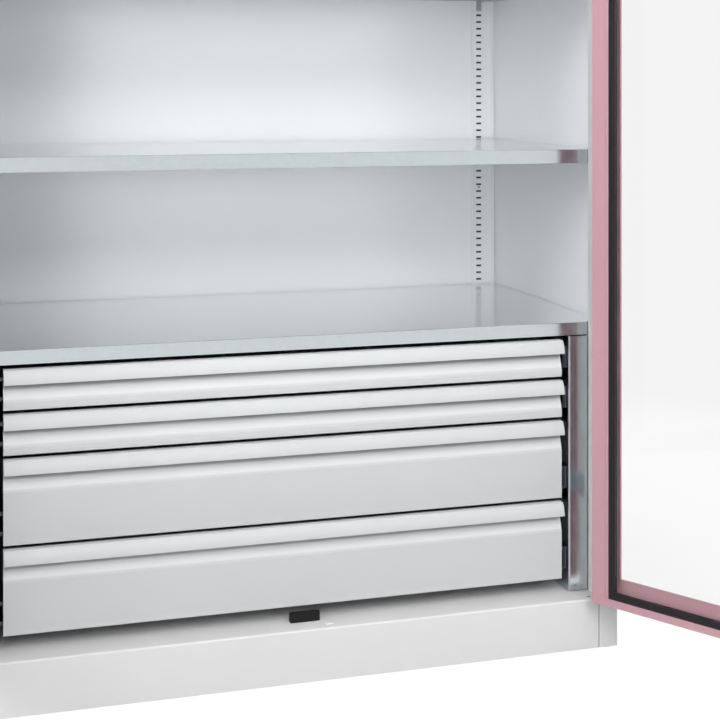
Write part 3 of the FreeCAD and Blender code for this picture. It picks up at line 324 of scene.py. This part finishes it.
def recess_painted_shading(name, face_tone, slope_painted_light, corner_painted_shadow):
    """The drawers' coat with painted light and shade: the sloped finger recess is painted lighter as
    if lit from above, and the corner under the lip is painted darker as the lip's shadow.
    """
    material, nodes, links, skin = new_material(name)
    point = object_point(nodes)
    coat = add_group(nodes, links, EFFECTS["powder_coat"], point, Peel=420.0)
    place = nodes.new("ShaderNodeSeparateXYZ")
    links.new(point, place.inputs[0])
    depth = between(material.node_tree, place.outputs["Y"], FACE_PLANE, LIP_CORNER, 0.0, 1.0)
    ramp = nodes.new("ShaderNodeValToRGB")
    # Painted light on the slope and painted shadow in the corner under the lip, set by depth.
    stops = [
        (0.0, face_tone),
        (0.08, face_tone),
        (0.2, slope_painted_light),
        (0.62, slope_painted_light),
        (0.92, corner_painted_shadow),
    ]
    marks = ramp.color_ramp.elements
    while len(marks) < len(stops):
        marks.new(0.5)
    for mark, (position, tone) in zip(marks, stops):
        mark.position = position
        mark.color = (*shade(tone), 1)
    links.new(depth, ramp.inputs["Fac"])
    drift = between(material.node_tree, coat.outputs["Drift"], 0.3, 0.7, 0.98, 1.0)
    toned = nodes.new("ShaderNodeVectorMath")
    toned.operation = "SCALE"
    links.new(ramp.outputs["Color"], toned.inputs[0])
    links.new(drift, toned.inputs["Scale"])
    links.new(toned.outputs[0], skin.inputs["Base Color"])
    rough = between(material.node_tree, coat.outputs["Drift"], 0.3, 0.7, 0.39, 0.45)
    links.new(rough, skin.inputs["Roughness"])
    links.new(bump(nodes, links, coat.outputs["Height"], 0.12, 0.0004), skin.inputs["Normal"])
    skin.inputs["Specular IOR Level"].default_value = 0.4
    return material


def zinc_sheet(name, colour, roughness=0.2, spread=0.06, crystal=90.0, level=0.1):
    material, nodes, links, skin = new_material(name)
    grain = add_group(nodes, links, EFFECTS["zinc_grain"], object_point(nodes), Crystal=crystal)
    light = shade(colour)
    dark = [value * (1 - spread) for value in light]
    links.new(tone_ramp(nodes, links, grain.outputs["Tone"], dark, light), skin.inputs["Base Color"])
    low, high = roughness * 0.85, roughness * 1.15
    rough = between(material.node_tree, grain.outputs["Tone"], 0.3, 0.7, low, high)
    links.new(rough, skin.inputs["Roughness"])
    links.new(bump(nodes, links, grain.outputs["Height"], level, 0.0002), skin.inputs["Normal"])
    skin.inputs["Metallic"].default_value = 1
    return material


def rubber(name, colour, roughness):
    material, nodes, links, skin = new_material(name)
    coat = add_group(nodes, links, EFFECTS["powder_coat"], object_point(nodes), Peel=900.0)
    light = shade(colour)
    dark = [value * 0.8 for value in light]
    links.new(tone_ramp(nodes, links, coat.outputs["Height"], dark, light), skin.inputs["Base Color"])
    low, high = roughness - 0.05, roughness + 0.05
    rough = between(material.node_tree, coat.outputs["Drift"], 0.3, 0.7, low, high)
    links.new(rough, skin.inputs["Roughness"])
    links.new(bump(nodes, links, coat.outputs["Height"], 0.25, 0.0003), skin.inputs["Normal"])
    skin.inputs["Specular IOR Level"].default_value = 0.15
    return material


def clear_plate():
    material, nodes, links, skin = new_material("clear_plate")
    coat = add_group(nodes, links, EFFECTS["powder_coat"], object_point(nodes), Peel=30.0)
    light = shade((244, 244, 244))
    dark = [value * 0.995 for value in light]
    links.new(tone_ramp(nodes, links, coat.outputs["Drift"], dark, light), skin.inputs["Base Color"])
    rough = between(material.node_tree, coat.outputs["Drift"], 0.3, 0.7, 0.0, 0.02)
    links.new(rough, skin.inputs["Roughness"])
    skin.inputs["Transmission Weight"].default_value = 1
    skin.inputs["IOR"].default_value = 1.2
    return material


SHADOW_FADE = (0.9, 2.4)


def floor_paint():
    """White to the eye, with a faint shadow that fades out away from the cabinet."""
    material, nodes, links, skin = new_material("floor_white")
    point = object_point(nodes)
    coat = add_group(nodes, links, EFFECTS["powder_coat"], point, Peel=200.0)
    light = shade((150, 150, 150))
    dark = [value * 0.99 for value in light]
    links.new(tone_ramp(nodes, links, coat.outputs["Drift"], dark, light), skin.inputs["Base Color"])
    skin.inputs["Roughness"].default_value = 0.9
    skin.inputs["Specular IOR Level"].default_value = 0.1
    reach = nodes.new("ShaderNodeVectorMath")
    reach.operation = "LENGTH"
    links.new(point, reach.inputs[0])
    tree = material.node_tree
    near, far = SHADOW_FADE
    weight = between(tree, reach.outputs["Value"], near, far, 0.6, 1.0)
    strength = between(tree, reach.outputs["Value"], near, far, 1.5, 1.0)
    white = nodes.new("ShaderNodeEmission")
    links.new(strength, white.inputs["Strength"])
    share = nodes.new("ShaderNodeMath")
    share.operation = "MULTIPLY"
    links.new(weight, share.inputs[0])
    links.new(seen_plainly(nodes, links), share.inputs[1])
    mix = nodes.new("ShaderNodeMixShader")
    links.new(share.outputs[0], mix.inputs[0])
    links.new(skin.outputs[0], mix.inputs[1])
    links.new(white.outputs[0], mix.inputs[2])
    links.new(mix.outputs[0], nodes["Material Output"].inputs["Surface"])
    return material


EFFECTS = {"powder_coat": powder_coat(), "zinc_grain": zinc_grain()}
PAINTS = {
    "base": painted_steel("light_grey_coat", (206, 206, 206), roughness=0.5, gloss=0.25),
    # side and back: lighter copies of the carcass grey, painted light on the cabinet's inner walls
    "side": painted_steel("side_grey_lightened", (239, 241, 242)),
    "back": painted_steel("back_grey_lightened", (244, 246, 247)),
    "drawer": painted_steel("drawer_grey_coat", (189, 191, 193)),
    # front: drawer grey with a painted highlight on the finger recess and a painted shadow under the
    # lip
    "front": recess_painted_shading("drawer_front_coat", (187, 189, 190), (207, 209, 210), (96, 102, 106)),
    # painted shade: dark grey for slots, seams and hollows where only shadow falls
    "hollow": painted_steel("painted_shade_grey", (82, 84, 86), roughness=0.7, gloss=0.1),
    "door": painted_steel("rose_coat", (178, 139, 147), gloss=0.25),
}
METALS = {
    "bright": zinc_sheet("bright_zinc", (238, 243, 245), roughness=0.16, spread=0.02, level=0.03),
    # edge: a darker copy of the bright zinc, painted shade on upright faces: the shelves' fronts and
    # edges and the cheeks' flat faces
    "edge": zinc_sheet("upright_zinc_darker", (203, 211, 213), roughness=0.2, spread=0.03, level=0.04),
    # runner: steel darkened as painted shade, for the runners in the dark gap beside the drawers; the
    # rails' screws share it
    "runner": zinc_sheet("runner_steel_shaded", (96, 102, 108), roughness=0.38, crystal=600.0),
    "dull": zinc_sheet("dull_zinc", (186, 190, 194), roughness=0.34, crystal=400.0),
    "nickel": zinc_sheet("satin_nickel", (205, 203, 198), roughness=0.27, crystal=900.0),
}
SLOT_FINISH = {
    "carcass_paint": PAINTS["base"],
    "drawer_paint": PAINTS["drawer"],
    "door_paint": PAINTS["door"],
    "galvanised_steel": METALS["bright"],
    "zinc_hardware": METALS["dull"],
    "satin_nickel": METALS["nickel"],
    "black_seal": rubber("black_profile", (35, 33, 36), 0.5),
    "black_rubber": rubber("stop_rubber", (30, 30, 31), 0.6),
    "clear_pane": clear_plate(),
}
NODE_FINISH = {
    # The back panel and rails carry the lighter copy of the grey: painted light.
    "back_panel": PAINTS["back"],
    "rear_rail_left": PAINTS["back"],
    "rear_rail_right": PAINTS["back"],
    "outer_runners": METALS["runner"],
}
for drawer in range(1, 5):
    NODE_FINISH[f"drawer_{drawer}_middle_runners"] = METALS["runner"]
    NODE_FINISH[f"drawer_{drawer}_inner_runners"] = METALS["runner"]


def slot_of(node):
    return NODES[node].material_slots[0].material.name.split(".")[0]


SLOTS = {node: slot_of(node) for node in NODES}


def finish_of(node):
    return NODE_FINISH.get(node, SLOT_FINISH[SLOTS[node]])


def dress_nodes():
    for node, thing in NODES.items():
        for slot in thing.material_slots:
            slot.material = finish_of(node)


# Pieces


MM = 0.001
FRONT_FACE = -0.3
DOOR_PIVOT = (0.5605, -0.305)
DOOR_SWING = 120
FOLD_STEPS = 4
LIP_STEPS = 9


def at(x, inward, z):
    """A point from millimetres: across, back from the front face, up."""
    return Vector((x * MM, inward * MM + FRONT_FACE, z * MM))


def swung_open(side):
    """Turns a shut right door's piece about its hinge pins; the left door is its mirror."""
    pivot = Matrix.Translation((*DOOR_PIVOT, 0))
    turn = Matrix.Rotation(math.radians(DOOR_SWING), 4, "Z")
    opened = pivot @ turn @ pivot.inverted()
    return Matrix.Scale(-1, 4, (1, 0, 0)) @ opened if side == "left" else opened


def bevelled(bm, edges, width, steps):
    return bmesh.ops.bevel(
        bm,
        geom=edges,
        offset=width,
        offset_type="OFFSET",
        segments=steps,
        profile=0.5,
        affect="EDGES",
        material=-1,
        clamp_overlap=True,
    )


def face_towards(bm, direction):
    """Turns every face over where the largest one looks away from the direction."""
    bm.normal_update()
    largest = max(bm.faces, key=lambda face: face.calc_area())
    if largest.normal.dot(direction) < 0:
        bmesh.ops.reverse_faces(bm, faces=bm.faces[:])


def folded_strip(path, start, run, folds, outward):
    """A sheet's face: a path of corners drawn out along the run, its folds rounded."""
    bm = bmesh.new()
    corners = [bm.verts.new(start(*point)) for point in path]
    edges = [bm.edges.new(pair) for pair in zip(corners, corners[1:])]
    drawn = bmesh.ops.extrude_edge_only(bm, edges=edges)
    moved = [item for item in drawn["geom"] if isinstance(item, bmesh.types.BMVert)]
    bmesh.ops.translate(bm, verts=moved, vec=run)
    along = run.normalized()
    for index, tangent, steps in folds:
        corner = corners[index]
        line = [
            edge
            for edge in corner.link_edges
            if abs((edge.other_vert(corner).co - corner.co).normalized().dot(along)) > 0.99
        ]
        bevelled(bm, line, tangent * MM, steps)
    face_towards(bm, outward)
    return bm


def merged_copy(node, whole=True):
    """A CAD node's shape ready for new work; slotted sheets keep their triangles."""
    bm = bmesh.new()
    bm.from_mesh(NODES[node].data)
    bmesh.ops.remove_doubles(bm, verts=bm.verts[:], dist=0.000002)
    if whole:
        bmesh.ops.dissolve_limit(
            bm, angle_limit=math.radians(0.6), verts=bm.verts[:], edges=bm.edges[:]
        )
    return bm


def add_piece(name, bm, node, finishes=None, wall=None, edge=0.3, steps=2, sharp=32):
    """Makes the object that replaces a node, with its wall, soft edges, slot and finish."""
    mesh = bpy.data.meshes.new(name)
    bm.to_mesh(mesh)
    bm.free()
    for polygon in mesh.polygons:
        polygon.use_smooth = True
    mesh.set_sharp_from_angle(angle=math.radians(sharp))
    piece = bpy.data.objects.new(name, mesh)
    bpy.context.scene.collection.objects.link(piece)
    for material in finishes or [finish_of(node)]:
        mesh.materials.append(material)
    if wall:
        solid = piece.modifiers.new("wall", "SOLIDIFY")
        solid.thickness = wall * MM
        solid.offset = 1
        solid.use_even_offset = True
    if edge:
        soft = piece.modifiers.new("soft_edges", "BEVEL")
        soft.width = edge * MM
        soft.segments = steps
        soft.limit_method = "ANGLE"
        soft.angle_limit = math.radians(sharp)
        soft.harden_normals = True
    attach(piece, NODES[node]["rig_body"])
    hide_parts(node)


def add_extra(name, bm, finish, body):
    """Makes the object of a piece that no node stands for."""
    mesh = bpy.data.meshes.new(name)
    bm.to_mesh(mesh)
    bm.free()
    piece = bpy.data.objects.new(name, mesh)
    bpy.context.scene.collection.objects.link(piece)
    mesh.materials.append(finish)
    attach(piece, body)


DRAWER_LEVELS = {1: (493.5, 562.0), 2: (418.5, 487.0), 3: (268.5, 412.0), 4: (118.5, 262.0)}
DRAWER_HALF = 505.0
DRAWER_FACE = 45.7
DRAWER_BACK = 56.4
LIP_FRONT = 33.6
LIP_TOP_FRONT = 41.8
LIP_DROP = 24
LIP_STRAIGHT = 12
RECESS_HEIGHT = 31.5
SHEET = 1.2


def drawer_fronts():
    """Folded fronts: flat face, sloped finger recess and a rounded grip lip."""
    for number, (low, high) in DRAWER_LEVELS.items():
        lip_low = high - LIP_DROP
        path = [
            (DRAWER_BACK, low),
            (DRAWER_FACE, low),
            (DRAWER_FACE, lip_low - RECESS_HEIGHT),
            (DRAWER_BACK, lip_low),
            (DRAWER_BACK, high - SHEET),
            (LIP_TOP_FRONT, high - SHEET),
            (LIP_FRONT, lip_low + LIP_STRAIGHT),
            (LIP_FRONT, lip_low),
        ]
        folds = [
            (1, 1.2, FOLD_STEPS),
            (2, 0.9, FOLD_STEPS),
            (5, 1.4, FOLD_STEPS),
            (6, 10.5, LIP_STEPS),
        ]
        bm = folded_strip(
            path,
            lambda inward, z: at(-DRAWER_HALF, inward, z),
            Vector((2 * DRAWER_HALF * MM, 0, 0)),
            folds,
            Vector((0, 1, 0)),
        )
        add_piece(
            f"drawer_front_{number}",
            bm,
            f"drawer_{number}_front",
            finishes=[PAINTS["front"]],
            wall=SHEET,
            edge=0.25,
        )


CHEEK_PATH = [(557.2, 46.5), (519.0, 46.5), (519.0, 560.0), (549.0, 560.0)]
CHEEK_FOLDS = [(1, 3.8, 8), (2, 1.5, FOLD_STEPS)]
CHEEK_FOOT = 92.0
CHEEK_HEIGHT = 477.3
FLANGE_DEPTH = 60
FLANGE_FOOT_GAP = 1.8
FLANGE_TOP_GAP = 2.0


def housing_cheeks():
    """Bright cheeks beside the drawers: a wide bend, and open seams round the front flange."""
    flange_end = at(0, FLANGE_DEPTH, 0).y
    half_way = (CHEEK_FOOT + CHEEK_HEIGHT / 2) * MM
    for side, sign in (("right", 1), ("left", -1)):
        bm = folded_strip(
            CHEEK_PATH,
            lambda x, inward: at(sign * x, inward, CHEEK_FOOT),
            Vector((0, 0, CHEEK_HEIGHT * MM)),
            CHEEK_FOLDS,
            Vector((-sign, 0, 0)),
        )
        face_towards(bm, Vector((sign, 0, 0)))
        for vert in bm.verts:
            if vert.co.y < flange_end:
                at_foot = vert.co.z < half_way
                vert.co.z += FLANGE_FOOT_GAP * MM if at_foot else -FLANGE_TOP_GAP * MM
        for face in bm.faces:
            in_bend = 0.06 < abs(face.normal.x) < 0.99
            face.material_index = 1 if in_bend else 0
        add_piece(
            f"housing_cheek_{side}",
            bm,
            f"housing_side_{side}",
            # The cheeks' flat faces take the darker upright zinc, painted shade; the bends take the
            # dull zinc.
            finishes=[METALS["edge"], METALS["dull"]],
            wall=SHEET,
            edge=0.2,
        )


SHELF_NODES = ("drawer_cover_shelf", "shelf_lower", "shelf_middle", "shelf_upper")
SHELF_BEND = 1.8


def shelves():
    """Galvanised trays: mirror-bright tops; fronts and edges take a darker, rougher copy of the zinc,
    a painted shade for how light falls on the upright faces.
    """
    for node in SHELF_NODES:
        bm = merged_copy(node)
        low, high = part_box(node)
        front = [
            edge
            for edge in bm.edges
            if all(abs(v.co.y - low.y) < 1e-5 and abs(v.co.z - high.z) < 1e-5 for v in edge.verts)
        ]
        bevelled(bm, front, SHELF_BEND * MM, FOLD_STEPS)
        for face in bm.faces:
            # Upright faces take the darker zinc as painted shade.
            upright = abs(face.normal.z) < 0.7
            face.material_index = 1 if upright else 0
        finishes = [METALS["bright"], METALS["edge"]]
        add_piece(node + "_tray", bm, node, finishes=finishes, edge=0.25)


OPENING_SIDE = 559.5
PLINTH_SEAM = 1.1
DRAIN_PLACE = 544.5
DRAIN_REACH = 3.2
DRAIN_BACK = 14.4
DRAIN_WIDENING = 2.0


def base_sheet():
    """Plinth and floor in one sheet, with an open seam beside each post and two drain slots; the
    slots' inner walls are painted dark as painted shade.
    """
    bm = merged_copy("base_panel")
    seam_end = at(0, 40, 0).y
    drain_front = at(0, 12, 0).y
    drain_back = at(0, DRAIN_BACK, 0).y
    drain_end = at(0, 17, 0).y
    for vert in bm.verts:
        beside_post = abs(abs(vert.co.x) - OPENING_SIDE * MM) < 0.6 * MM
        if beside_post and vert.co.y < seam_end:
            vert.co.x -= math.copysign(PLINTH_SEAM * MM, vert.co.x)
        at_drain = abs(abs(vert.co.x) - DRAIN_PLACE * MM) < DRAIN_REACH * MM
        if at_drain and abs(vert.co.y - drain_back) < 0.5 * MM:
            vert.co.y += DRAIN_WIDENING * MM
    # The drain slots' inner walls take the dark grey: painted shade inside the slots.
    for face in bm.faces:
        middle = face.calc_center_median()
        at_drain = abs(abs(middle.x) - DRAIN_PLACE * MM) < DRAIN_REACH * MM
        in_drain = at_drain and drain_front < middle.y < drain_end
        face.material_index = 1 if in_drain and abs(face.normal.z) < 0.5 else 0
    add_piece("base_sheet", bm, "base_panel", finishes=[PAINTS["base"], PAINTS["hollow"]], edge=0.35)


POST_DEPTH = 48.5


def side_sheets():
    """Side walls with their posts; the inner walls carry a lighter copy of the same grey as painted
    light, and the posts and outer faces carry the plinth's grey.
    """
    post_end = at(0, POST_DEPTH - 1, 0).y
    for side in ("right", "left"):
        node = f"side_panel_{side}"
        bm = merged_copy(node, whole=False)
        outer = max(abs(vert.co.x) for vert in bm.verts)
        for face in bm.faces:
            middle = face.calc_center_median()
            on_post = middle.y < post_end
            outside = abs(abs(middle.x) - outer) < 0.3 * MM
            # Inner faces take the lighter grey as painted light; posts and outer faces take the
            # plinth's grey.
            face.material_index = 1 if on_post or outside else 0
        finishes = [PAINTS["side"], PAINTS["base"]]
        add_piece(f"side_sheet_{side}", bm, node, finishes=finishes, edge=None)


WELL = (69.5, 522.9, 109.3, 1892.7)
SEAL_BACK = 16.3
SEAL_SHOULDER = 27.0
SEAL_STEPS = [(0.7, 0.8), (5.7, 0.0), (0.7, -0.7), (3.8, -2.2), (0.8, -0.8)]


def window_seals():
    """Black profile round each pane: a flat outer band and a lip that slopes to the pane."""
    left, right, low, high = WELL
    for side in ("right", "left"):
        bm = bmesh.new()
        corners = [
            bm.verts.new(at(x, SEAL_SHOULDER, z))
            for x, z in ((left, low), (left, high), (right, high), (right, low))
        ]
        middle = bm.faces.new(corners)
        face_towards(bm, Vector((0, 1, 0)))
        for width, rise in SEAL_STEPS:
            bmesh.ops.inset_region(
                bm,
                faces=[middle],
                thickness=width * MM,
                depth=rise * MM,
                use_even_offset=True,
                use_boundary=True,
            )
        bmesh.ops.delete(bm, geom=[middle], context="FACES")
        rims = [edge for edge in bm.edges if edge.is_boundary]
        drawn = bmesh.ops.extrude_edge_only(bm, edges=rims)
        for item in drawn["geom"]:
            if isinstance(item, bmesh.types.BMVert):
                item.co.y = at(0, SEAL_BACK, 0).y
        bmesh.ops.bridge_loops(bm, edges=[edge for edge in bm.edges if edge.is_boundary])
        bmesh.ops.transform(bm, matrix=swung_open(side), verts=bm.verts[:])
        bmesh.ops.recalc_face_normals(bm, faces=bm.faces[:])
        add_piece(f"window_profile_{side}", bm, f"door_{side}_window_seal", edge=0.3, steps=2)


def lathe(bm, profile, centre, steps=24):
    """Turns a profile of (radius, height) points about an upright axis."""
    start = [bm.verts.new(centre + Vector((radius * MM, 0, z * MM))) for radius, z in profile]
    edges = [bm.edges.new(pair) for pair in zip(start, start[1:])]
    bmesh.ops.spin(
        bm,
        geom=start + edges,
        axis=(0, 0, 1),
        cent=centre,
        angle=math.tau,
        steps=steps,
        use_merge=True,
    )


def thread(bm, centre, radius, pitch, low, high, steps=16):
    """A screw thread's ridge wound round an upright stud."""
    turns = int((high - low) / pitch)
    ridge = [(radius - 0.6, low), (radius, low + pitch / 2), (radius - 0.6, low + pitch)]
    start = [bm.verts.new(centre + Vector((r * MM, 0, z * MM))) for r, z in ridge]
    edges = [bm.edges.new(pair) for pair in zip(start, start[1:])]
    bmesh.ops.spin(
        bm,
        geom=start + edges,
        axis=(0, 0, 1),
        cent=centre,
        dvec=(0, 0, pitch * MM / steps),
        angle=math.tau * turns,
        steps=steps * turns,
        use_merge=False,
    )


FOOT_PLACES = [(577, 15.5), (577, 580.5), (-577, 15.5), (-577, 580.5)]
FOOT_PROFILE = [
    (0, 0), (13.8, 0), (15, 1.2), (15, 4.6), (13.6, 6.4),
    (7.5, 8.2), (5.4, 9.6), (4.0, 9.8), (4.0, 50), (0, 50),
]


def levelling_feet():
    """Turned discs on threaded studs, each with a hexagon to turn it by."""
    bm = bmesh.new()
    for x, inward in FOOT_PLACES:
        centre = at(x, inward, 0)
        lathe(bm, FOOT_PROFILE, centre)
        thread(bm, centre, 4.5, 1.25, 14, 48)
        made = bmesh.ops.create_cone(
            bm, cap_ends=True, segments=6, radius1=7 * MM, radius2=7 * MM, depth=4 * MM
        )
        bmesh.ops.translate(bm, verts=made["verts"], vec=centre + Vector((0, 0, 11.5 * MM)))
    bmesh.ops.remove_doubles(bm, verts=bm.verts[:], dist=0.000005)
    bmesh.ops.recalc_face_normals(bm, faces=bm.faces[:])
    add_piece("levelling_feet_turned", bm, "levelling_feet", edge=0.2)


HEAD_RADIUS = 2.5
HEAD_RISE = 0.12


def screw_head():
    """A countersunk head with a round recess, at the origin and looking up."""
    bm = bmesh.new()
    bmesh.ops.create_cone(
        bm,
        cap_ends=True,
        segments=20,
        radius1=HEAD_RADIUS * MM,
        radius2=(HEAD_RADIUS - 0.25) * MM,
        depth=2 * HEAD_RISE * MM,
    )
    top = max(bm.faces, key=lambda face: face.calc_center_median().z)
    bmesh.ops.inset_region(bm, faces=[top], thickness=0.9 * MM, use_even_offset=True)
    bmesh.ops.inset_region(bm, faces=[top], thickness=0.4 * MM, depth=-0.5 * MM, use_even_offset=True)
    mesh = bpy.data.meshes.new("screw_head")
    bm.to_mesh(mesh)
    bm.free()
    return mesh


def add_fixings(name, body, finish, places, matrix=None):
    """One head at each place, looking along its direction, in a single piece."""
    head = screw_head()
    bm = bmesh.new()
    for centre, looking in places:
        before = len(bm.verts)
        bm.from_mesh(head)
        turn = Vector((0, 0, 1)).rotation_difference(looking).to_matrix().to_4x4()
        new = [vert for n, vert in enumerate(bm.verts) if n >= before]
        bmesh.ops.transform(bm, matrix=Matrix.Translation(centre) @ turn, verts=new)
    if matrix:
        bmesh.ops.transform(bm, matrix=matrix, verts=bm.verts[:])
        bmesh.ops.recalc_face_normals(bm, faces=bm.faces[:])
    add_extra(name, bm, finish, body)


HINGE_STARTS = (260.3, 980.0, 1699.7)
HINGE_SCREW_DEPTHS = (10, 20)
FRAME_LEAF_FACE = 558.5
FRAME_SCREW_RISE = 10.5
DOOR_LEAF_FACE = 558.0
DOOR_SCREW_RISE = 31.5
RAIL_MIDDLE = 553.5
RAIL_FACE = 593.8
RAIL_SCREW_LEVELS = (207.5, 807.5, 1257.5, 1707.5)


def fixings():
    """Countersunk screws in the hinge leaves and the rear rails."""
    for side, sign in (("right", 1), ("left", -1)):
        frame_heads = []
        door_heads = []
        for start in HINGE_STARTS:
            for inward in HINGE_SCREW_DEPTHS:
                frame_place = at(sign * FRAME_LEAF_FACE, inward, start + FRAME_SCREW_RISE)
                door_place = at(DOOR_LEAF_FACE, inward, start + DOOR_SCREW_RISE)
                frame_heads.append((frame_place, Vector((-sign, 0, 0))))
                door_heads.append((door_place, Vector((1, 0, 0))))
        rail_heads = [
            (at(sign * RAIL_MIDDLE, RAIL_FACE, level), Vector((0, -1, 0)))
            for level in RAIL_SCREW_LEVELS
        ]
        add_fixings(f"hinge_screws_{side}", "carcass", METALS["dull"], frame_heads)
        add_fixings(
            f"door_hinge_screws_{side}", f"door_{side}", METALS["dull"], door_heads, swung_open(side)
        )
        add_fixings(f"rail_screws_{side}", "carcass", METALS["runner"], rail_heads)


LINER_WALL = 0.2
# Painted shade: strips behind the rails' slots, at the top of the cheeks' front flanges and inside
# the seams beside the plinth.
SHADE_LINERS = [
    [(545.0, 597.6, 596), (562.0, 597.6, 596), (562.0, 597.6, 1812), (545.0, 597.6, 1812)],
    [(522.0, 49.0, 560), (557.0, 49.0, 560), (557.0, 49.0, 569.2), (522.0, 49.0, 569.2)],
    [(559.2, 0.8, 2), (559.2, 9.0, 2), (559.2, 9.0, 86), (559.2, 0.8, 86)],
]


def painted_shade_liners():
    """Dark strips behind the rails' slots and the open seams: painted shade, standing for the shadow
    in the hollows behind them.
    """
    bm = bmesh.new()
    for sign in (1, -1):
        for corners in SHADE_LINERS:
            bm.faces.new([bm.verts.new(at(sign * x, inward, z)) for x, inward, z in corners])
    bmesh.ops.solidify(bm, geom=bm.faces[:], thickness=LINER_WALL * MM)
    bmesh.ops.recalc_face_normals(bm, faces=bm.faces[:])
    add_extra("painted_shade_liners", bm, PAINTS["hollow"], "carcass")


SOFTENED = {
    "top_panel": (0.35, 2),
    "door_left_shell": (0.5, 3),
    "door_right_shell": (0.5, 3),
    "door_left_inner_frame": (0.4, 3),
    "door_right_inner_frame": (0.4, 3),
    "door_left_overlap_strip": (0.4, 2),
    "rubber_stop": (1.2, 3),
    "lever_handle": (2.0, 4),
    "lever_rosette": (1.2, 3),
    "lock_cylinder_plug": (0.4, 2),
    "lock_case": (0.4, 2),
}


def softened_copies():
    """Copies of nodes whose shape is right, with their edges rounded."""
    for node, (edge, steps) in SOFTENED.items():
        add_piece(node + "_soft", merged_copy(node), node, edge=edge, steps=steps)


bpy.context.scene.view_settings.view_transform = "Standard"
set_camera()
set_world()
set_floor()
set_lamps()
dress_nodes()
drawer_fronts()
housing_cheeks()
shelves()
base_sheet()
side_sheets()
window_seals()
levelling_feet()
fixings()
painted_shade_liners()
softened_copies()
